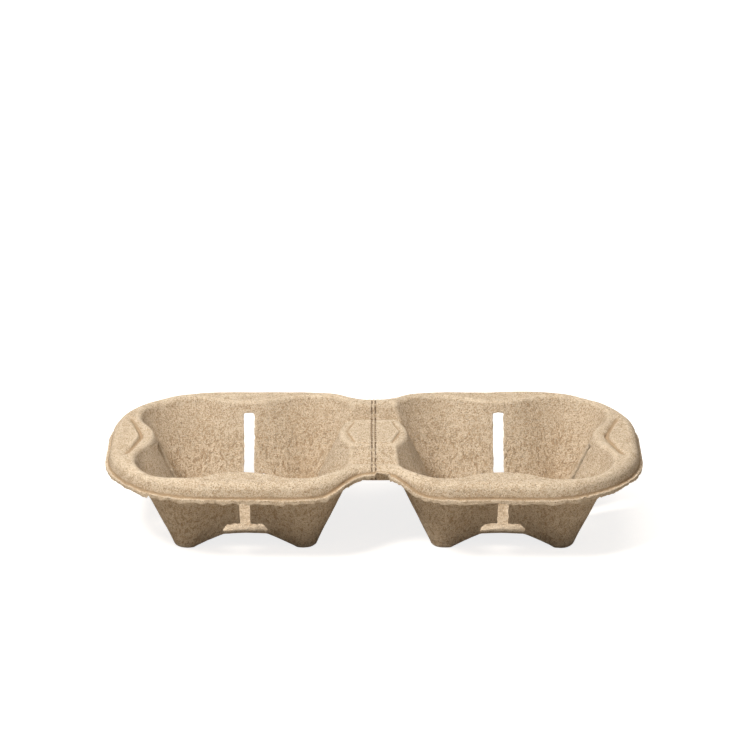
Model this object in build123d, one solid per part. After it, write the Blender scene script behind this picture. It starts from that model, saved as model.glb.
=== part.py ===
"""Two-cup carrier of moulded paper pulp: one thin-walled moulding.

Millimetres, +Z up. X runs along the carrier through both pockets, the front is -Y, and the origin
lies on the ground under the middle of the bridge. The moulding stands on four feet a pocket.
"""
from build123d import *
from math import atan2, cos, degrees, radians, sin, sqrt, tan
import os

# Overall sizes: a pocket's is over the outside of its lobes, level with the rim
POCKET_SIZE = 93.0
RIM_HEIGHT = 38.0
BRIDGE_RISE = 1.4
WALL = 1.4

# Deck between the pockets, and from a pocket to the outline at the sides, ends and end corners
BRIDGE_WIDTH = 12.0
SIDE_DECK = 7.5
END_DECK = 11.0
CORNER_DECK = 4.1

# Outline beside the bridge
BRIDGE_CORNER_RADIUS = 32.0
WAIST_RADIUS = 13.0

# Skirt under the rim, with its trimmed edge, which climbs at the waist but leaves the bridge whole
SKIRT_DEPTH = 8.0
WAIST_SKIRT_DEPTH = 3.0
EDGE_RISE_INNER = 4.0
EDGE_RISE_OUTER = 24.0
WAIST_TRIM = 5.6
SKIRT_DRAFT = 12.0
RIM_RADIUS = 4.0
RIM_UNDERCUT = 1.4
LIP_WIDTH = 0.7
LIP_HEIGHT = 1.7

# Pockets: lobe radii are those of the outside, and the angle is where lobe and rib meet
RIM_LOBE_RADIUS = 22.8
FOOT_LOBE_RADIUS = 5.0
RIB_ANGLE = 31.0
MOUTH_RADIUS = 2.5

# Floor and feet
FLOOR_CLEARANCE = 4.7
ARCH_FLAT = 18.0
FOOT_INSET = 2.2
ARCH_RADIUS = 6.0
FOOT_EDGE_RADIUS = 2.5

# Upturned T cut through each rib that faces outwards
WINDOW_HEIGHT = 3.9
WINDOW_TOP_WIDTH = 14.5
WINDOW_FOOT_WIDTH = 19.5
WINDOW_SILL = 0.2
WINDOW_REACH = 20.0
SLOT_WIDTH = 4.4
SLOT_TOP_DROP = 4.5

# Bridge between the pockets
RISE_INNER = 8.0
RISE_OUTER = 30.0
CREST_INSET = 7.1
VALLEY_WIDTH = 19.8
VALLEY_DROP = 8.0
HUMP_SLOPE = 45.0
CREST_SLOPE = 25.0
BRIDGE_ROUND = 3.6
VALLEY_RADIUS = 3.2
VALLEY_OVERLAP = 14.0
VALLEY_LIFT = 0.001
PANEL_RAISE = 0.6
PANEL_BEVEL = 0.5
PANEL_WIDTH = 21.0
PANEL_END_WIDTH = 14.4
PANEL_INSET = 1.7

# Chevron groove outside the mouth at each end, and the tear line over the bridge
GROOVE_INSET = 14.4
GROOVE_SPREAD = 5.4
GROOVE_WIDTH = 38.0
GROOVE_BEND_RADIUS = 8.0
GROOVE_RADIUS = 1.6
GROOVE_DEPTH = 0.6
SCORE_SPACING = 1.5
SCORE_WIDTH = 0.5
SCORE_DEPTH = 0.5

# How far a cutter stands past what it cuts, and how near counts as touching
OVERSHOOT = 10.0
NEAR = 0.1


def corner_radius(end, side, corner):
    """Radius of an outline corner that leaves these widths of deck about a lobe."""
    end_reach = RIM_LOBE_RADIUS + end
    side_reach = RIM_LOBE_RADIUS + side
    corner_reach = RIM_LOBE_RADIUS + corner
    middle = end_reach + side_reach - corner_reach
    return middle + sqrt(middle**2 - end_reach**2 - side_reach**2 + corner_reach**2)


POCKET_HALF = POCKET_SIZE / 2
POCKET_X = POCKET_HALF + BRIDGE_WIDTH / 2
HALF_LENGTH = POCKET_X + POCKET_HALF + END_DECK
HALF_DEPTH = POCKET_HALF + SIDE_DECK
END_CORNER_RADIUS = corner_radius(END_DECK, SIDE_DECK, CORNER_DECK)
WAIST_Y = HALF_DEPTH - BRIDGE_CORNER_RADIUS + sqrt(
    (BRIDGE_CORNER_RADIUS + WAIST_RADIUS) ** 2 - BRIDGE_CORNER_RADIUS**2
)
WAIST_HALF = WAIST_Y - WAIST_RADIUS
CREST_Y = WAIST_HALF - CREST_INSET
HUMP_Y = CREST_Y - VALLEY_WIDTH
DECK_TOP = RIM_HEIGHT + BRIDGE_RISE
EDGE_HEIGHT = RIM_HEIGHT - SKIRT_DEPTH
LOBE_OFFSET = POCKET_HALF - RIM_LOBE_RADIUS
LOBE_GROWTH = (RIM_LOBE_RADIUS - FOOT_LOBE_RADIUS) / RIM_HEIGHT
SLANTED_WALL = WALL * sqrt(1 + LOBE_GROWTH**2)
FLOOR_TOP = FLOOR_CLEARANCE + WALL


def arc_about(centre, radius, start, end):
    """Arc about a centre from the direction of one point to that of another, the short way."""
    first = degrees(atan2(start[1] - centre[1], start[0] - centre[0]))
    turn = degrees(atan2(end[1] - centre[1], end[0] - centre[0])) - first
    turn = (turn + 180) % 360 - 180
    return CenterArc(centre, radius, first, turn)


def carrier_outline(inset):
    """Waisted outline of the carrier, moved in by inset, as one face."""
    bridge_radius = BRIDGE_CORNER_RADIUS - inset
    waist_radius = WAIST_RADIUS + inset
    half_depth = HALF_DEPTH - inset
    half_length = HALF_LENGTH - inset
    end_centre = (HALF_LENGTH - END_CORNER_RADIUS, HALF_DEPTH - END_CORNER_RADIUS)
    bridge_centre = (BRIDGE_CORNER_RADIUS, HALF_DEPTH - BRIDGE_CORNER_RADIUS)
    waist_centre = (0, WAIST_Y)
    end_top = (end_centre[0], HALF_DEPTH)
    end_side = (HALF_LENGTH, end_centre[1])
    quarter = Curve() + [
        arc_about(waist_centre, waist_radius, (0, 0), bridge_centre),
        arc_about(bridge_centre, bridge_radius, waist_centre, (bridge_centre[0], HALF_DEPTH)),
        Line((bridge_centre[0], half_depth), (end_centre[0], half_depth)),
        arc_about(end_centre, END_CORNER_RADIUS - inset, end_top, end_side),
        Line((half_length, end_centre[1]), (half_length, 0)),
    ]
    half = quarter + mirror(quarter, about=Plane.XZ)
    return make_face(half + mirror(half, about=Plane.YZ))


def pocket_section(height, inset):
    """Outline of a pocket at a height, moved in by inset: four round lobes and ribs that bulge in."""
    turn = radians(RIB_ANGLE)
    outward = Vector(cos(turn), -sin(turn))
    lobe_radius = FOOT_LOBE_RADIUS + LOBE_GROWTH * height - inset
    lobe_centre = Vector(LOBE_OFFSET, LOBE_OFFSET)
    rib_centre = lobe_centre + outward * (LOBE_OFFSET / sin(turn))
    rib_middle = lobe_radius + LOBE_OFFSET * (1 - tan(turn / 2))
    joint = lobe_centre + outward * lobe_radius
    lobe_middle = lobe_centre + Vector(1, 1).normalized() * lobe_radius
    rib = ThreePointArc((joint.X, -joint.Y), (rib_middle, rib_centre.Y), joint)
    lobe = ThreePointArc(joint, lobe_middle, (joint.Y, joint.X))
    edges = [Rotation(0, 0, 90 * quarter) * edge for quarter in range(4) for edge in (rib, lobe)]
    return Pos(0, 0, height) * make_face(edges)


def pocket_form(bottom, top, inset):
    """Tapered body between two levels, for the outside of a pocket or for its cavity."""
    return loft([pocket_section(bottom, inset), pocket_section(top, inset)], ruled=True)


def level_profile(low, high, inner, outer):
    """Region under a level line that swells from low to high near the middle, in the XZ plane."""
    middle = (inner + outer) / 2
    side = HALF_LENGTH + OVERSHOOT
    half = Curve() + [
        Line((0, high), (inner, high)),
        Bezier((inner, high), (middle, high), (middle, low), (outer, low)),
        Line((outer, low), (side, low)),
        Line((side, low), (side, -OVERSHOOT)),
        Line((side, -OVERSHOOT), (0, -OVERSHOOT)),
    ]
    return make_face(half + mirror(half, about=Plane.YZ))


def across(profile):
    """Prism of a profile drawn in the XZ plane, right through the depth of the carrier."""
    return extrude(Plane.XZ * profile, amount=HALF_DEPTH + OVERSHOOT, both=True)


def under_deck_level(drop):
    """Everything below the top of the deck lowered by drop."""
    return across(Pos(0, -drop) * level_profile(RIM_HEIGHT, DECK_TOP, RISE_INNER, RISE_OUTER))


def skirt_section(height, wall):
    """Outline of the drafted skirt at a height, moved in by wall."""
    draft = radians(SKIRT_DRAFT)
    inset = LIP_WIDTH + wall / cos(draft) + (height - EDGE_HEIGHT) * tan(draft)
    return Pos(0, 0, height) * carrier_outline(inset)


def deck_form(bottom, wall):
    """Drafted cap of the rim and skirt, moved in and down by wall, with its top edge still sharp."""
    top = DECK_TOP + OVERSHOOT
    cap = loft([skirt_section(bottom, wall), skirt_section(top, wall)], ruled=True)
    return cap & under_deck_level(wall)


def top_edges(cap):
    """Edges round the top of a cap, without the seams that cross it."""
    seams = cap.edges().filter_by(Axis.Y).filter_by(lambda edge: abs(edge.center().X) < POCKET_X)
    return [edge for edge in cap.edges() - seams if edge.bounding_box().min.Z > RIM_HEIGHT - RIM_RADIUS]


def bridge_line(drop):
    """Region above the top of the bridge, in the YZ plane, moved down and out by drop."""
    floor = DECK_TOP - VALLEY_DROP
    ceiling = DECK_TOP + 2 * OVERSHOOT
    outline = Polyline(
        (0, ceiling),
        (0, DECK_TOP),
        (HUMP_Y, DECK_TOP),
        (HUMP_Y + VALLEY_DROP * tan(radians(HUMP_SLOPE)), floor),
        (CREST_Y - VALLEY_DROP * tan(radians(CREST_SLOPE)), floor),
        (CREST_Y, DECK_TOP),
        (HALF_DEPTH, DECK_TOP),
        (HALF_DEPTH, ceiling),
        close=True,
    )
    region = make_face(outline)
    low = region.vertices().filter_by(lambda vertex: abs(vertex.Y - floor) < NEAR)
    region = fillet(low, VALLEY_RADIUS)
    brows = region.vertices().filter_by(
        lambda vertex: abs(vertex.Y - DECK_TOP) < NEAR and HUMP_Y - NEAR < vertex.X < CREST_Y + NEAR
    )
    region = fillet(brows, BRIDGE_ROUND)
    if drop:
        region = offset(region, drop)
    start = HUMP_Y - BRIDGE_ROUND * tan(radians(90 - HUMP_SLOPE) / 2)
    end = CREST_Y + BRIDGE_ROUND * tan(radians(90 - CREST_SLOPE) / 2)
    window = Pos((start + end) / 2, DECK_TOP) * Rectangle(end - start, 2 * OVERSHOOT)
    return region & window


def valley_cutter(drop):
    """Both valleys of the bridge, moved down by drop, long enough to end inside the pockets.

    They are lifted a hair, so that their round brows cross the deck and don't just touch it.
    """
    reach = BRIDGE_WIDTH / 2 + VALLEY_OVERLAP
    rear = Pos(0, 0, VALLEY_LIFT) * extrude(Plane.YZ * bridge_line(drop), amount=reach, both=True)
    return rear + mirror(rear, about=Plane.XZ)


def arch_cutter(wall):
    """Crossing arches under a pocket that leave a foot at each corner, grown by wall."""
    flat = ARCH_FLAT / 2
    foot = LOBE_OFFSET - FOOT_INSET
    foot += (foot - flat) / FLOOR_CLEARANCE * OVERSHOOT
    corners = [(-foot, -OVERSHOOT), (-flat, FLOOR_CLEARANCE), (flat, FLOOR_CLEARANCE), (foot, -OVERSHOOT)]
    arch = make_face(Polyline(*corners, close=True))
    arch = fillet(arch.vertices().filter_by(lambda vertex: vertex.Y > 0), ARCH_RADIUS)
    if wall:
        arch = offset(arch, wall)
    along_y = extrude(Plane.XZ * arch, amount=POCKET_HALF + OVERSHOOT, both=True)
    return along_y + Rotation(0, 0, 90) * along_y


def footed_form(bottom, top, inset, wall):
    """Pocket body between two levels with its feet parted by arches."""
    return pocket_form(bottom, top, inset) - arch_cutter(wall)


def foot_edges(pocket):
    """Edges round the soles and along the bottom of the walls between them."""
    walls = pocket.faces().filter_by(lambda face: face.bounding_box().max.Z > RIM_HEIGHT)
    low = walls.edges().filter_by(lambda edge: edge.bounding_box().max.Z < FLOOR_CLEARANCE + NEAR)
    soles = pocket.edges().filter_by(lambda edge: edge.bounding_box().max.Z < NEAR)
    return low + (soles - low)


def edge_cutter():
    """Everything below the trimmed edge of the skirt, clear of the bridge."""
    waist_edge = RIM_HEIGHT - WAIST_SKIRT_DEPTH
    prism = across(level_profile(EDGE_HEIGHT, waist_edge, EDGE_RISE_INNER, EDGE_RISE_OUTER))
    return prism - Box(2 * POCKET_X, 2 * (WAIST_HALF - WAIST_TRIM), 3 * RIM_HEIGHT)


def bridge_panel():
    """Raised hexagonal panel on top of the bridge, with bevelled edges, sunk into the deck."""
    half_width = PANEL_WIDTH / 2
    half_end = PANEL_END_WIDTH / 2
    half_depth = HUMP_Y - PANEL_INSET
    side = [(half_end, -half_depth), (half_width, 0), (half_end, half_depth)]
    outline = Polyline(*side, *[(-x, -y) for x, y in side], close=True)
    panel = Pos(0, 0, DECK_TOP - PANEL_RAISE) * extrude(make_face(outline), amount=2 * PANEL_RAISE)
    return chamfer(panel.edges().group_by(Axis.Z)[-1], PANEL_BEVEL)


def trimmed_deck(panel):
    """Rim, bridge and skirt without the pockets, open underneath, with the lip along its edge."""
    low = EDGE_HEIGHT - OVERSHOOT
    lip = Pos(0, 0, low) * extrude(carrier_outline(0), amount=2 * OVERSHOOT)
    lip &= Pos(0, 0, LIP_HEIGHT) * edge_cutter()
    outside = deck_form(low, 0)
    inside = deck_form(low - OVERSHOOT, WALL)
    deck = fillet(top_edges(outside), RIM_RADIUS) + panel + lip - edge_cutter()
    hollow = chamfer(top_edges(inside), RIM_UNDERCUT) + Pos(0, 0, -WALL) * panel
    return deck - (hollow - valley_cutter(WALL))


def cut_pocket(deck, cavity):
    """Cut a pocket's cavity out of the deck and round the edge of its mouth."""
    lowest = DECK_TOP - VALLEY_DROP - NEAR
    cut = deck - cavity
    rims = new_edges(deck, cavity, combined=cut)
    return fillet([edge for edge in rims if edge.bounding_box().min.Z > lowest], MOUTH_RADIUS)


def window_cutter():
    """Upturned T through the rib that faces +Y, about the middle of its pocket."""
    sill = FLOOR_TOP + WINDOW_SILL
    head = sill + WINDOW_HEIGHT
    half_foot = WINDOW_FOOT_WIDTH / 2
    half_top = WINDOW_TOP_WIDTH / 2
    corners = [(-half_foot, sill), (half_foot, sill), (half_top, head), (-half_top, head)]
    window = make_face(Polyline(*corners, close=True))
    slot_top = RIM_HEIGHT - SLOT_TOP_DROP
    slot = Pos(0, (sill + slot_top) / 2) * Rectangle(SLOT_WIDTH, slot_top - sill)
    middle = POCKET_HALF - WINDOW_REACH / 2
    return Pos(0, middle, 0) * extrude(Plane.XZ * (window + slot), amount=WINDOW_REACH / 2, both=True)


def end_groove():
    """Soft chevron groove in the deck outside the mouth at the +X end, fading out at its tips."""
    bend = (HALF_LENGTH - GROOVE_INSET, 0, RIM_HEIGHT + GROOVE_RADIUS - GROOVE_DEPTH)
    tip = (bend[0] + GROOVE_SPREAD, GROOVE_WIDTH / 2, RIM_HEIGHT + GROOVE_RADIUS + NEAR)
    path = FilletPolyline(tip, bend, (tip[0], -tip[1], tip[2]), radius=GROOVE_BEND_RADIUS)
    return sweep(Plane(path @ 0, z_dir=path % 0) * Circle(GROOVE_RADIUS), path=path)


def score_cutter(panel):
    """Two score lines that follow the top of the bridge from the front to the back."""
    valley = bridge_line(SCORE_DEPTH)
    level = Pos(0, DECK_TOP - SCORE_DEPTH + OVERSHOOT) * Rectangle(2 * HALF_DEPTH, 2 * OVERSHOOT)
    region = level + valley + mirror(valley, about=Plane.YZ)
    line = extrude(Plane.YZ * region, amount=SCORE_WIDTH / 2, both=True) - Pos(0, 0, -SCORE_DEPTH) * panel
    return Pos(SCORE_SPACING / 2, 0, 0) * line + Pos(-SCORE_SPACING / 2, 0, 0) * line


def cup_carrier():
    """The whole moulding."""
    panel = bridge_panel()
    deck = trimmed_deck(panel)
    pocket = footed_form(0, DECK_TOP + NEAR, 0, 0)
    pocket = fillet(foot_edges(pocket), FOOT_EDGE_RADIUS)
    cavity = footed_form(WALL, DECK_TOP + MOUTH_RADIUS, SLANTED_WALL, WALL)
    sunk = under_deck_level(WALL / 2)
    places = [Pos(POCKET_X, 0, 0), Pos(-POCKET_X, 0, 0)]
    for place in places:
        deck += (place * pocket) & sunk
    deck -= valley_cutter(0)
    for place in places:
        deck = cut_pocket(deck, place * cavity)
    window = window_cutter()
    for place, end_turn in zip(places, (-90, 90)):
        for turn in (0, 180, end_turn):
            deck -= place * Rotation(0, 0, turn) * window
    groove = end_groove()
    deck -= groove
    deck -= mirror(groove, about=Plane.YZ)
    return deck - score_cutter(panel)


os.makedirs("parts", exist_ok=True)
export_step(cup_carrier(), "parts/cup_carrier.step")
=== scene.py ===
"""Two-cup carrier of moulded paper pulp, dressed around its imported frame."""
import math

import bpy
import numpy as np
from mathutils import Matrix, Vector


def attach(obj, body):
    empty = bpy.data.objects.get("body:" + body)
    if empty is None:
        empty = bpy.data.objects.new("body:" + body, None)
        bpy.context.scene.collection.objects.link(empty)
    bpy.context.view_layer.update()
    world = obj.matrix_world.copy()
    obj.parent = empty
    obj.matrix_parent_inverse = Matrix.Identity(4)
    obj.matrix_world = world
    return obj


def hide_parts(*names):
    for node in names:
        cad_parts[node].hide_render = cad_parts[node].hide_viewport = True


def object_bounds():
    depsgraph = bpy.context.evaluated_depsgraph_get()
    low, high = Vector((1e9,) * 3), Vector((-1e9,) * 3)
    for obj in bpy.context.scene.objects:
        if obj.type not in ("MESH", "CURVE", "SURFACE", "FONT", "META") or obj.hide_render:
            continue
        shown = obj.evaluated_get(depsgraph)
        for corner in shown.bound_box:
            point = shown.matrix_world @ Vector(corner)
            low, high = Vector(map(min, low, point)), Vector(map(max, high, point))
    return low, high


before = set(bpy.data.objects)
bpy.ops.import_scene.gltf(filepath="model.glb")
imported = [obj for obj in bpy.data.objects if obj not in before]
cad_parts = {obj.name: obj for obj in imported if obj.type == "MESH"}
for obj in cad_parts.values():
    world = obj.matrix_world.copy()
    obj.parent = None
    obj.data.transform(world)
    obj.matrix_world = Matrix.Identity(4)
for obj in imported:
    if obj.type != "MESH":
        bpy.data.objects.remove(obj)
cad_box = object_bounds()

MM = 0.001

# Places on the carrier, as in its solid, and the wide feet of its windows, which the skin opens
POCKET_X = 52.5 * MM
LOBE_OFFSET = 23.7 * MM
LOBE_RADIUS = 22.8 * MM
RIM_HEIGHT = 38 * MM
EDGE_HEIGHT = 30 * MM
WAIST_EDGE_HEIGHT = 35 * MM
EDGE_RISE = (4 * MM, 24 * MM)
SLOT_HALF = 2.2 * MM
SLOT_TOP = 33.5 * MM
SILL = 6.3 * MM
WINDOW_HEAD = 10.2 * MM
WINDOW_HALF = 8.5 * MM
WINDOW_FLARE = 1.25 * MM
WINDOW_TOP = 14 * MM
WINDOW_REACH = (21.5 * MM, 30 * MM)
WALL_REACH = 20 * MM
MOUTH_EDGE = (-0.5 * MM, 0.5 * MM)
BRIDGE_END = 34 * MM
POCKET_END = 85 * MM

# Mesh of the pulp
VOXEL = 0.38 * MM
TRIANGLES = 192000
SMOOTHING_PASSES = 2
SMOOTHING_FACTOR = 0.5

# Random values of the noise lattice, and the primes that pick one of them for a cell
LATTICE_VALUES = 8191
LATTICE_PRIMES = (73856093, 19349663, 83492791)

# First seed of each kind of unevenness, and the step that leaves room for a layer's three axes
WARP_SEED = 11
SURFACE_SEED = 111
FRAY_SEED = 211
TRIM_SEED = 311
NICK_SEED = 411
TAB_SEED = 511
LAYER_SEEDS = 10

# Groove beside each end pocket, whose arms the skin carries on to the corners
GROOVE_APEX = 95.6 * MM
GROOVE_SPREAD = 5.4 * MM
GROOVE_REACH = 19 * MM
GROOVE_BEND = 4 * MM
GROOVE_HALF_WIDTH = 1.5 * MM
GROOVE_DEPTH = 0.65 * MM
GROOVE_FADE = (16 * MM, 23 * MM)
GROOVE_LEVEL = (36 * MM, 37.5 * MM)

# Crispness: passes that make the blurred form, and how far the fine form stands out from it
BLUR_PASSES = 26
CRISPNESS = 1.6
CRISP_LIMIT = 0.60 * MM
CREASE_RANGE = 0.16 * MM

# Uneven moulding: wavelength and height of each layer, and the share of the warp left at the feet
WARP_LAYERS = ((38 * MM, 0.45 * MM), (15 * MM, 0.18 * MM))
WARP_AT_FEET = 0.35
SURFACE_LAYERS = ((7 * MM, 0.11 * MM), (2.6 * MM, 0.05 * MM))

# Cut and trimmed edges: how wide a band frays, and how far it moves at each wavelength
FRAY_BAND = (0.3 * MM, 1.3 * MM)
FRAY_LAYERS = ((3.4 * MM, 0.16 * MM), (1.5 * MM, 0.20 * MM), (0.8 * MM, 0.14 * MM))
TRIM_BAND = (0.4 * MM, 2.6 * MM)
TRIM_LAYERS = ((12 * MM, 0.45 * MM), (4.0 * MM, 0.40 * MM), (1.5 * MM, 0.24 * MM))
SKIRT_GAP = (1.0 * MM, 2.5 * MM)
SKIRT_START = (0, 2 * MM)
NICK_WAVELENGTH = 2.1 * MM
NICK_DEPTH = 2.6 * MM
NICK_LEVEL = 0.52
TAB_WAVELENGTH = 1.5 * MM
TAB_LENGTH = 1.8 * MM
TAB_LEVEL = 0.55

# Tear in the front edge at the waist: it opens slowly on the left and ends in a step on the right
TEAR_LEFT = (-0.5 * MM, 0.8 * MM)
TEAR_RIGHT = (5.8 * MM, 6.5 * MM)
TEAR_RISE = 2.0 * MM
TEAR_BAND = (0.4 * MM, 3.4 * MM)
TEAR_FRAY = 1.3

# Score cuts along the fold of the bridge: two dashed rows with ragged sides and ends, whose dark colour
# is painted shade
SCORE_X = 0.75 * MM
SCORE_LOW = (27 * MM, 29 * MM)
SCORE_END = (40 * MM, 38.5 * MM)
SCORE_SIDE = (0.40 * MM, 0.12 * MM)
SCORE_WANDER = 0.6 * MM
WANDER_NOISE = (2.5 * MM, 3.0, 0.55)
DASH_PITCH = 2.1 * MM
DASH_RAGGED = 3.0
DASH_RISE = (-0.6, 0.1)
GAP_SHADE = 0.3

# Tones of the pulp and its fibres
PULP = (0.560, 0.425, 0.285, 1)
PULP_PALE = (0.690, 0.560, 0.405, 1)
PULP_DARK = (0.390, 0.262, 0.148, 1)
FIBRE_DARK = (0.160, 0.100, 0.055, 1)
FIBRE_PALE = (0.760, 0.650, 0.490, 1)

# Noises of the pulp: size of the blotches, detail and roughness
MOTTLE_NOISE = (9 * MM, 5.0, 0.65)
LUMP_NOISE = (2.3 * MM, 4.0, 0.62)
GRAIN_NOISE = (0.55 * MM, 4.0, 0.72)
SPECK_NOISE = (1.0 * MM, 1.0, 0.5)

# Fibres and drag streaks: size of a mark, detail and roughness of its noise, and where it shows
FIBRE_SIZE = (0.24 * MM, 0.24 * MM, 2.6 * MM)
FIBRE_NOISE = (1.0, 1.0, 0.5)
FIBRE_BAND = (0.64, 0.73)
DRAG_SIZE = (1.1 * MM, 1.1 * MM, 11 * MM)
DRAG_NOISE = (1.0, 2.0, 0.6)
DRAG_BAND = (0.54, 0.66)
DRAG_FADE = (30 * MM, 20 * MM)

# Fibres of each direction: how it is turned, and its tone
FIBRES = (
    ((0.4, 0.2, 0.1), FIBRE_PALE),
    ((1.5, 0.3, 0.9), FIBRE_DARK),
    ((0.2, 1.4, 0.5), FIBRE_PALE),
    ((1.2, 1.0, 2.2), FIBRE_DARK),
)
FIBRE_STRENGTH = 0.70

# Stains under the fibres, and over them stains with painted shade in creases and score cuts and a
# painted highlight on ridges: the mark, the band of values in which it shows, strength, tone
GROUND_STAINS = (
    ("mottle", (0.36, 0.66), 0.55, PULP_PALE),
    ("lumps", (0.50, 0.63), 0.55, PULP_DARK),
    ("lumps", (0.47, 0.35), 0.65, PULP_PALE),
    ("grain", (0.51, 0.58), 0.90, PULP_PALE),
    ("grain", (0.48, 0.40), 1.00, PULP_DARK),
)
SURFACE_STAINS_AND_SHADING = (
    ("specks", (0.69, 0.76), 0.55, FIBRE_DARK),
    # Painted shade: darker where the skin lies in a crease
    ("crease", (0.05, 0.80), 0.80, PULP_DARK),
    # Painted highlight: paler where the skin stands out on a ridge
    ("crease", (-0.2, -1.0), 0.35, PULP_PALE),
    ("drags", None, 0.70, PULP_DARK),
    ("frayed", None, 0.45, PULP_PALE),
    # Painted shade: the score cuts drawn dark
    ("cuts", None, 0.85, FIBRE_DARK),
)

# Relief of the marks and fibres, in shares of the bump's distance
RELIEF = {"grain": 0.8, "drags": -0.60, "lumps": 1.0, "cuts": -0.9}
FIBRE_RELIEF = 0.25
BUMP_STRENGTH = 0.9
BUMP_DISTANCE = 0.55 * MM

# Dull surface of the pulp
ROUGHNESS = (0.82, 0.98)
SPECULAR = 0.25

# Floor: its look to the light, and the glow that makes it white to the camera
FLOOR_SIZE = 12
FLOOR_COLOUR = (0.46, 0.41, 0.35, 1)
FLOOR_ROUGHNESS = 0.9
FLOOR_GLOW = 0.80

# Lamps: place, size and power; the white room's light, and how bright the camera sees it
KEY_LAMP = ((-0.52, -0.62, 1.14), 0.33, 21.5)
TOP_LAMP = ((0.15, 0.25, 1.30), 0.90, 6.7)
WHITE = (1, 1, 1, 1)
ROOM_LIGHT = 0.29
ROOM_SEEN = 1.0

# Photograph's view
IMAGE_PIXELS = 750
TARGET_PIXEL = (373.8, 435.5)
VIEW_ELEVATION = math.radians(22)
VIEW_DISTANCE = 1.510
PIXELS_PER_METRE = 2430
SENSOR = 36


def smoothstep(value, low, high):
    """0 below low, 1 above high, and a smooth rise between."""
    t = np.clip((value - low) / (high - low), 0, 1)
    return t * t * (3 - 2 * t)


def lattice_noise(points, wavelength, seed):
    """Smooth random values between -1 and 1, one for each point, that vary over a wavelength."""
    table = np.random.default_rng(seed).uniform(-1, 1, LATTICE_VALUES)
    cells = points / wavelength
    base = np.floor(cells).astype(np.int64)
    part = cells - base
    part = part * part * (3 - 2 * part)
    total = np.zeros(len(points))
    for corner in np.ndindex(2, 2, 2):
        x, y, z = ((base + corner) * LATTICE_PRIMES).T
        share = np.prod(np.where(corner, part, 1 - part), axis=1)
        total += table[(x ^ y ^ z) % LATTICE_VALUES] * share
    return total


def vector_noise(points, wavelength, seed):
    """Three independent lattice noises as the columns of one array."""
    return np.stack([lattice_noise(points, wavelength, seed + axis) for axis in range(3)], axis=1)


def vertex_array(mesh, name):
    """A property with three values for each vertex, as a numpy array."""
    values = np.empty(3 * len(mesh.vertices), np.float32)
    mesh.vertices.foreach_get(name, values)
    return values.reshape(-1, 3).astype(float)


def neighbour_mean(points, edges, count):
    """Each point moved to the middle of its neighbours along the edges."""
    total = np.empty_like(points)
    for axis in range(points.shape[1]):
        values = points[:, axis]
        total[:, axis] = np.bincount(edges[:, 0], values[edges[:, 1]], len(points))
        total[:, axis] += np.bincount(edges[:, 1], values[edges[:, 0]], len(points))
    return total / count[:, None]


def blurred(points, edges, passes):
    """Points after some passes of smoothing."""
    count = np.bincount(edges.ravel(), minlength=len(points)).astype(float)
    for _ in range(passes):
        points = (points + neighbour_mean(points, edges, count)) / 2
    return points


def place_vertices(mesh, points):
    """Moves the mesh's vertices to the points."""
    mesh.vertices.foreach_set("co", points.astype(np.float32).ravel())
    mesh.update()


def with_modifiers(piece):
    """Applies the piece's modifiers to its mesh."""
    graph = bpy.context.evaluated_depsgraph_get()
    graph.update()
    mesh = bpy.data.meshes.new_from_object(piece.evaluated_get(graph))
    piece.modifiers.clear()
    old = piece.data
    piece.data = mesh
    bpy.data.meshes.remove(old)


def window_prisms():
    """Closed prisms that open the wide foot of the window in each of the eight ribs."""
    half = [(WINDOW_HALF + WINDOW_FLARE, SILL), (WINDOW_HALF - WINDOW_FLARE, WINDOW_HEAD)]
    half += [(SLOT_HALF, WINDOW_HEAD), (SLOT_HALF, WINDOW_TOP)]
    profile = half + [(-side, height) for side, height in reversed(half)]
    corners = []
    faces = []
    for pocket in (-POCKET_X, POCKET_X):
        for along in (Vector((1, 0, 0)), Vector((0, 1, 0)), Vector((-1, 0, 0)), Vector((0, -1, 0))):
            across = Vector((-along.y, along.x, 0))
            near = [len(corners) + number for number in range(len(profile))]
            far = [number + len(profile) for number in near]
            for reach in WINDOW_REACH:
                foot = Vector((pocket, 0, 0)) + reach * along
                corners += [foot + side * across + Vector((0, 0, height)) for side, height in profile]
            faces += [near[::-1], far]
            for start, end in zip(range(len(near)), [*range(1, len(near)), 0]):
                faces.append((near[start], near[end], far[end], far[start]))
    mesh = bpy.data.meshes.new("windows")
    mesh.from_pydata(corners, [], faces)
    prisms = bpy.data.objects.new("windows", mesh)
    bpy.context.scene.collection.objects.link(prisms)
    return prisms


def even_skin(name, source):
    """A new piece with the solid's shape on an even fine mesh, windows open and corners softened."""
    piece = bpy.data.objects.new(name, source.data.copy())
    bpy.context.scene.collection.objects.link(piece)
    prisms = window_prisms()
    opened = piece.modifiers.new("windows", "BOOLEAN")
    opened.object = prisms
    remesh = piece.modifiers.new("skin", "REMESH")
    remesh.mode = "VOXEL"
    remesh.voxel_size = VOXEL
    soften = piece.modifiers.new("soften", "SMOOTH")
    soften.iterations = SMOOTHING_PASSES
    soften.factor = SMOOTHING_FACTOR
    with_modifiers(piece)
    bpy.data.objects.remove(prisms)
    return piece


def outside_pockets(points):
    """Distance outwards from the rim of the nearer pocket, seen from above."""
    across = np.maximum(np.abs(np.abs(points[:, 0]) - POCKET_X) - LOBE_OFFSET, 0)
    along = np.maximum(np.abs(points[:, 1]) - LOBE_OFFSET, 0)
    return np.hypot(across, along) - LOBE_RADIUS


def above_trim(points):
    """Height of each point above the trimmed edge of the skirt, which climbs at the waist."""
    climb = 1 - smoothstep(np.abs(points[:, 0]), *EDGE_RISE)
    return points[:, 2] - EDGE_HEIGHT - climb * (WAIST_EDGE_HEIGHT - EDGE_HEIGHT)


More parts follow.
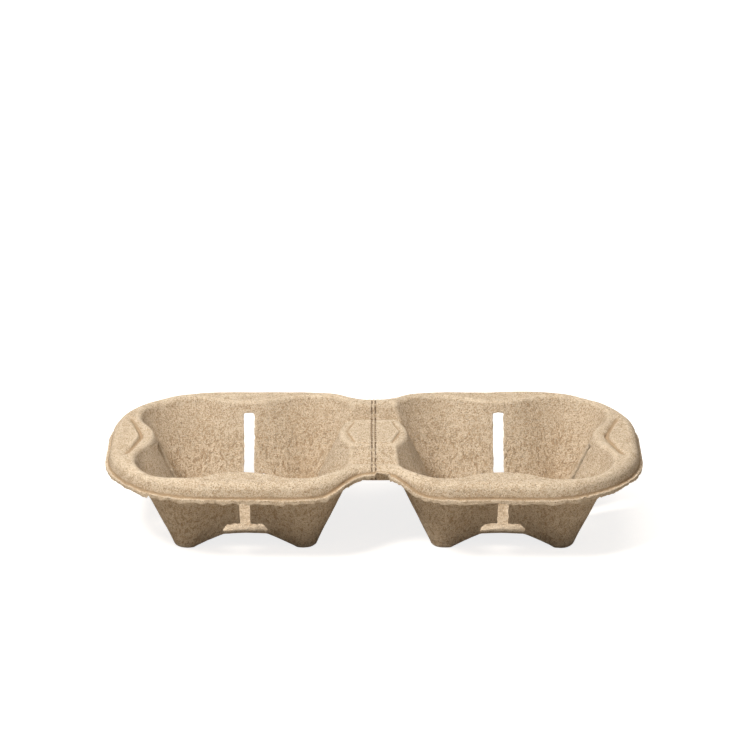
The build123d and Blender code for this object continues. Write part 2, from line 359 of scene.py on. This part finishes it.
def skirt_share(points, band):
    """1 at the trimmed edge of the skirt, falling to 0 above a band and inside the rim."""
    outward = np.maximum(np.abs(points[:, 1]) - BRIDGE_END, np.abs(points[:, 0]) - POCKET_END)
    share = smoothstep(outward, *SKIRT_START) * smoothstep(outside_pockets(points), *SKIRT_GAP)
    return share * (1 - smoothstep(above_trim(points), *band))


def slot_share(points):
    """1 at the edges of the slots and windows in the pocket walls, falling to 0 beside them."""
    x = np.abs(points[:, 0]) - POCKET_X
    y = np.abs(points[:, 1])
    z = points[:, 2]
    share = np.zeros(len(points))
    for across, along in ((np.abs(x), y), (y, x)):
        slot = np.maximum(across - SLOT_HALF, np.maximum(SILL - z, z - SLOT_TOP))
        window = np.maximum(across - WINDOW_HALF, np.maximum(SILL - z, z - WINDOW_HEAD))
        near = 1 - smoothstep(np.abs(np.minimum(slot, window)), *FRAY_BAND)
        share = np.maximum(share, near * (along > WALL_REACH))
    return share * (1 - smoothstep(outside_pockets(points), *MOUTH_EDGE))


def uneven(points, normals, frayed):
    """Points of the skin after the slow warp, the lumps of the pulp and the fray of the cut edges."""
    moved = points.copy()
    warped = WARP_AT_FEET + (1 - WARP_AT_FEET) * smoothstep(points[:, 2:3], 0, RIM_HEIGHT)
    for number, (wavelength, height) in enumerate(WARP_LAYERS):
        shift = vector_noise(points, wavelength, WARP_SEED + LAYER_SEEDS * number)
        moved += height * shift * warped
    for number, (wavelength, height) in enumerate(SURFACE_LAYERS):
        lump = lattice_noise(points, wavelength, SURFACE_SEED + number)
        moved += normals * (height * lump)[:, None]
    for number, (wavelength, height) in enumerate(FRAY_LAYERS):
        shift = vector_noise(points, wavelength, FRAY_SEED + LAYER_SEEDS * number)
        moved += height * shift * frayed[:, None]
    return moved


def arm_slant(y):
    """How far the arms of a V with a round apex have slanted away at a distance from that apex."""
    return np.hypot(y, GROOVE_BEND) - GROOVE_BEND


def grooved(points):
    """Points with the end grooves pressed into the deck: a wide V, fading at both ends."""
    x = np.abs(points[:, 0])
    y = points[:, 1]
    spread = arm_slant(y) / arm_slant(GROOVE_REACH)
    aside = (x - GROOVE_APEX - GROOVE_SPREAD * spread) / GROOVE_HALF_WIDTH
    depth = GROOVE_DEPTH * np.exp(-aside * aside) * (1 - smoothstep(np.abs(y), *GROOVE_FADE))
    depth *= smoothstep(points[:, 2], *GROOVE_LEVEL)
    return points - depth[:, None] * (0, 0, 1)


def torn(points):
    """1 between the two ends of the tear in the front edge, 0 elsewhere."""
    x = points[:, 0]
    return smoothstep(x, *TEAR_LEFT) * (1 - smoothstep(x, *TEAR_RIGHT)) * (points[:, 1] < 0)


def trim_rise(points):
    """How far each point of the skirt is raised: uneven trim, small nicks and the tear at the waist."""
    flat = points * (1, 1, 0)
    rise = np.zeros(len(points))
    for number, (wavelength, height) in enumerate(TRIM_LAYERS):
        rise += height * lattice_noise(flat, wavelength, TRIM_SEED + number)
    nick = lattice_noise(flat, NICK_WAVELENGTH, NICK_SEED)
    rise += NICK_DEPTH * np.maximum(nick - NICK_LEVEL, 0)
    tab = lattice_noise(flat, TAB_WAVELENGTH, TAB_SEED)
    rise -= TAB_LENGTH * np.maximum(tab - TAB_LEVEL, 0)
    rise *= skirt_share(points, TRIM_BAND)
    return rise + TEAR_RISE * torn(points) * skirt_share(points, TEAR_BAND)


def crisp(mesh, points, normals, hold):
    """Points with grooves, creases and ridges made clearer, and how much each lies in a crease."""
    edges = np.empty(2 * len(mesh.edges), np.int32)
    mesh.edges.foreach_get("vertices", edges)
    detail = points - blurred(points, edges.reshape(-1, 2), BLUR_PASSES)
    depth = -np.sum(detail * normals, axis=1)
    step = np.clip(CRISPNESS * depth, -CRISP_LIMIT, CRISP_LIMIT) * (1 - hold)
    return points - normals * step[:, None], np.clip(depth / CREASE_RANGE, -1, 1) * (1 - hold)


def store(mesh, name, values):
    """Keeps one value for each vertex under a name that the material reads."""
    mesh.attributes.new(name, "FLOAT", "POINT").data.foreach_set("value", values.astype(np.float32))


def make_pulp():
    """The carrier's visible skin."""
    piece = even_skin("moulded_pulp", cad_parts["cup_carrier"])
    mesh = piece.data
    points = vertex_array(mesh, "co")
    normals = vertex_array(mesh, "normal")
    frayed = np.maximum(skirt_share(points, FRAY_BAND), slot_share(points))
    rise = trim_rise(points)
    points = grooved(points)
    points, crease = crisp(mesh, points, normals, np.maximum(frayed, skirt_share(points, TRIM_BAND)))
    points = uneven(points, normals, frayed * (1 + TEAR_FRAY * torn(points)))
    points[:, 2] += rise
    store(mesh, "frayed", frayed)
    # The crease depth drives painted shade in creases and a painted highlight on ridges in the colour
    store(mesh, "crease", crease)
    place_vertices(mesh, points)
    # Each face of the even mesh is a quad, which counts as two triangles
    thin = piece.modifiers.new("thin", "DECIMATE")
    thin.ratio = TRIANGLES / (2 * len(mesh.polygons))
    with_modifiers(piece)
    mesh = piece.data
    place_vertices(mesh, np.clip(vertex_array(mesh, "co"), cad_box[0], cad_box[1]))
    mesh.shade_smooth()
    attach(piece, "root")
    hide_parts("cup_carrier")
    return piece


class Nodes:
    """Short calls for building a material's node tree."""

    def __init__(self, name):
        self.material = bpy.data.materials.new(name)
        self.material.use_nodes = True
        self.tree = self.material.node_tree
        self.shader = self.tree.nodes["Principled BSDF"]
        self.place = self.add("ShaderNodeTexCoord").outputs["Object"]

    def add(self, kind, **settings):
        """A new node of a kind, with its settings."""
        node = self.tree.nodes.new(kind)
        for name, value in settings.items():
            setattr(node, name, value)
        return node

    def feed(self, socket, value):
        """Links a socket's source, or sets a plain value."""
        if isinstance(value, bpy.types.NodeSocket):
            self.tree.links.new(value, socket)
        else:
            socket.default_value = value

    def math(self, operation, first, second=0.0):
        """Result of one arithmetic operation on sockets or plain values."""
        node = self.add("ShaderNodeMath", operation=operation)
        self.feed(node.inputs[0], first)
        self.feed(node.inputs[1], second)
        return node.outputs[0]

    def axes(self):
        """The three coordinates of the place on the object."""
        node = self.add("ShaderNodeSeparateXYZ")
        self.feed(node.inputs[0], self.place)
        return node.outputs

    def attribute(self, name):
        """A value that the mesh keeps for each vertex."""
        return self.add("ShaderNodeAttribute", attribute_name=name).outputs["Fac"]

    def scaled(self, scale, turn=(0, 0, 0)):
        """The place on the object, turned and then stretched."""
        node = self.add("ShaderNodeMapping", vector_type="TEXTURE")
        self.feed(node.inputs["Vector"], self.place)
        self.feed(node.inputs["Rotation"], turn)
        self.feed(node.inputs["Scale"], scale)
        return node.outputs[0]

    def noise(self, size, detail, roughness, vector=None):
        """Noise whose blotches are about size metres across."""
        node = self.add("ShaderNodeTexNoise")
        self.feed(node.inputs["Vector"], self.place if vector is None else vector)
        self.feed(node.inputs["Scale"], 1 / size)
        self.feed(node.inputs["Detail"], detail)
        self.feed(node.inputs["Roughness"], roughness)
        return node.outputs["Fac"]

    def between(self, value, low, high):
        """0 where the value is at low, 1 at high, and a smooth rise between."""
        node = self.add("ShaderNodeMapRange", interpolation_type="SMOOTHSTEP")
        self.feed(node.inputs["Value"], value)
        self.feed(node.inputs["From Min"], low)
        self.feed(node.inputs["From Max"], high)
        return node.outputs["Result"]

    def blend(self, share, first, second):
        """Colour mixed from two by a share."""
        node = self.add("ShaderNodeMix", data_type="RGBA")
        self.feed(node.inputs["Factor"], share)
        self.feed(node.inputs["A"], first)
        self.feed(node.inputs["B"], second)
        return node.outputs["Result"]


def fibres(nodes, turn):
    """Short thin marks that lie along one direction."""
    stretched = nodes.scaled(FIBRE_SIZE, turn)
    return nodes.between(nodes.noise(*FIBRE_NOISE, stretched), *FIBRE_BAND)


def drag_streaks(nodes):
    """Upright streaks on the lower walls, fading out below the rim."""
    strokes = nodes.noise(*DRAG_NOISE, nodes.scaled(DRAG_SIZE))
    up = nodes.axes()["Z"]
    return nodes.math("MULTIPLY", nodes.between(strokes, *DRAG_BAND), nodes.between(up, *DRAG_FADE))


def score_cuts(nodes):
    """Two dashed rows of small cuts along the fold of the bridge, which sink the bump and darken the
    colour as painted shade.
    """
    across, along, up = nodes.axes()
    wander = nodes.math("SUBTRACT", nodes.noise(*WANDER_NOISE), 0.5)
    shift = nodes.math("MULTIPLY", wander, SCORE_WANDER)
    aside = nodes.math("ADD", nodes.math("ABSOLUTE", across), shift)
    beside = nodes.math("ABSOLUTE", nodes.math("SUBTRACT", aside, SCORE_X))
    line = nodes.between(beside, *SCORE_SIDE)
    dash = nodes.math("SINE", nodes.math("MULTIPLY", along, 2 * math.pi / DASH_PITCH))
    ragged = nodes.math("ADD", dash, nodes.math("MULTIPLY", wander, DASH_RAGGED))
    dashes = nodes.math("MULTIPLY", nodes.between(ragged, *DASH_RISE), 1 - GAP_SHADE)
    dashes = nodes.math("ADD", dashes, GAP_SHADE)
    high = nodes.between(up, *SCORE_LOW)
    inside = nodes.between(nodes.math("ABSOLUTE", along), *SCORE_END)
    on_bridge = nodes.math("MULTIPLY", high, inside)
    return nodes.math("MULTIPLY", nodes.math("MULTIPLY", line, dashes), on_bridge)


def pulp_marks(nodes):
    """The marks of the pulp by name, for its colour and its relief."""
    return {
        "mottle": nodes.noise(*MOTTLE_NOISE),
        "lumps": nodes.noise(*LUMP_NOISE),
        "grain": nodes.noise(*GRAIN_NOISE),
        "specks": nodes.noise(*SPECK_NOISE),
        "crease": nodes.attribute("crease"),
        "frayed": nodes.attribute("frayed"),
        "drags": drag_streaks(nodes),
        "cuts": score_cuts(nodes),
    }


def stained_and_shaded(nodes, colour, marks, stains_and_shading):
    """The colour after some stains and painted shading, each of them in a band of a mark's values."""
    for name, band, strength, tone in stains_and_shading:
        share = nodes.between(marks[name], *band) if band else marks[name]
        colour = nodes.blend(nodes.math("MULTIPLY", share, strength), colour, tone)
    return colour


def pulp_colour(nodes, marks, strands):
    """Mottled pulp with fibres and specks, painted shade in its creases and score cuts, a painted
    highlight on its ridges, and pale on its frayed edges.
    """
    colour = stained_and_shaded(nodes, PULP, marks, GROUND_STAINS)
    for strand, (_, tone) in zip(strands, FIBRES):
        colour = nodes.blend(nodes.math("MULTIPLY", strand, FIBRE_STRENGTH), colour, tone)
    return stained_and_shaded(nodes, colour, marks, SURFACE_STAINS_AND_SHADING)


def pulp_relief(nodes, marks, strands):
    """Height for the bump: grain, lumps and fibres stand up, drag streaks and cuts lie deeper."""
    layers = [(marks[name], height) for name, height in RELIEF.items()]
    layers += [(strand, FIBRE_RELIEF) for strand in strands]
    relief = 0.0
    for mark, height in layers:
        relief = nodes.math("ADD", nodes.math("MULTIPLY", mark, height), relief)
    return relief


def pulp_material():
    """Grey-brown moulded pulp: mottled, speckled with fibres, and matt."""
    nodes = Nodes("moulded pulp")
    marks = pulp_marks(nodes)
    strands = [fibres(nodes, turn) for turn, _ in FIBRES]
    bump = nodes.add("ShaderNodeBump")
    nodes.feed(bump.inputs["Strength"], BUMP_STRENGTH)
    nodes.feed(bump.inputs["Distance"], BUMP_DISTANCE)
    nodes.feed(bump.inputs["Height"], pulp_relief(nodes, marks, strands))
    nodes.feed(nodes.shader.inputs["Normal"], bump.outputs["Normal"])
    nodes.feed(nodes.shader.inputs["Base Color"], pulp_colour(nodes, marks, strands))
    roughness = nodes.add("ShaderNodeMapRange")
    nodes.feed(roughness.inputs["Value"], marks["grain"])
    nodes.feed(roughness.inputs["To Min"], ROUGHNESS[0])
    nodes.feed(roughness.inputs["To Max"], ROUGHNESS[1])
    nodes.feed(nodes.shader.inputs["Roughness"], roughness.outputs["Result"])
    nodes.feed(nodes.shader.inputs["Specular IOR Level"], SPECULAR)
    return nodes.material


def make_floor():
    """Pale floor that looks white to the camera and keeps the carrier's shadow."""
    bpy.ops.mesh.primitive_plane_add(size=FLOOR_SIZE)
    floor = bpy.context.object
    floor.name = "floor"
    nodes = Nodes("pale floor")
    nodes.feed(nodes.shader.inputs["Base Color"], FLOOR_COLOUR)
    nodes.feed(nodes.shader.inputs["Roughness"], FLOOR_ROUGHNESS)
    glow = nodes.add("ShaderNodeLightPath").outputs["Is Camera Ray"]
    nodes.feed(nodes.shader.inputs["Emission Color"], WHITE)
    nodes.feed(nodes.shader.inputs["Emission Strength"], nodes.math("MULTIPLY", glow, FLOOR_GLOW))
    floor.data.materials.append(nodes.material)


def area_light(name, place, size, power):
    """A soft lamp that points at the carrier."""
    lamp = bpy.data.lights.new(name, "AREA")
    lamp.shape = "DISK"
    lamp.size = size
    lamp.energy = power
    holder = bpy.data.objects.new(name, lamp)
    holder.location = place
    holder.rotation_euler = (-Vector(place)).to_track_quat("-Z", "Y").to_euler()
    bpy.context.scene.collection.objects.link(holder)


def make_light():
    """Soft studio light from above and in front, a little from the left, in a white room."""
    area_light("key", *KEY_LAMP)
    area_light("top", *TOP_LAMP)
    world = bpy.data.worlds.new("white room")
    bpy.context.scene.world = world
    world.use_nodes = True
    tree = world.node_tree
    background = tree.nodes["Background"]
    background.inputs["Color"].default_value = WHITE
    path = tree.nodes.new("ShaderNodeLightPath")
    strength = tree.nodes.new("ShaderNodeMapRange")
    tree.links.new(path.outputs["Is Camera Ray"], strength.inputs["Value"])
    strength.inputs["To Min"].default_value = ROOM_LIGHT
    strength.inputs["To Max"].default_value = ROOM_SEEN
    tree.links.new(strength.outputs["Result"], background.inputs["Strength"])


def make_camera():
    """The photograph's view: long lens, 22 degrees above the floor."""
    data = bpy.data.cameras.new("camera")
    data.sensor_width = SENSOR
    data.lens = SENSOR * PIXELS_PER_METRE * VIEW_DISTANCE / IMAGE_PIXELS
    data.shift_x = 0.5 - TARGET_PIXEL[0] / IMAGE_PIXELS
    data.shift_y = TARGET_PIXEL[1] / IMAGE_PIXELS - 0.5
    camera = bpy.data.objects.new("camera", data)
    back = Vector((0, -math.cos(VIEW_ELEVATION), math.sin(VIEW_ELEVATION)))
    camera.location = Vector((0, 0, RIM_HEIGHT)) + VIEW_DISTANCE * back
    camera.rotation_euler = (math.pi / 2 - VIEW_ELEVATION, 0, 0)
    bpy.context.scene.collection.objects.link(camera)
    bpy.context.scene.camera = camera


make_camera()
make_light()
make_floor()
pulp = make_pulp()
pulp.data.materials.clear()
pulp.data.materials.append(pulp_material())
bpy.context.scene.view_settings.view_transform = "Standard"
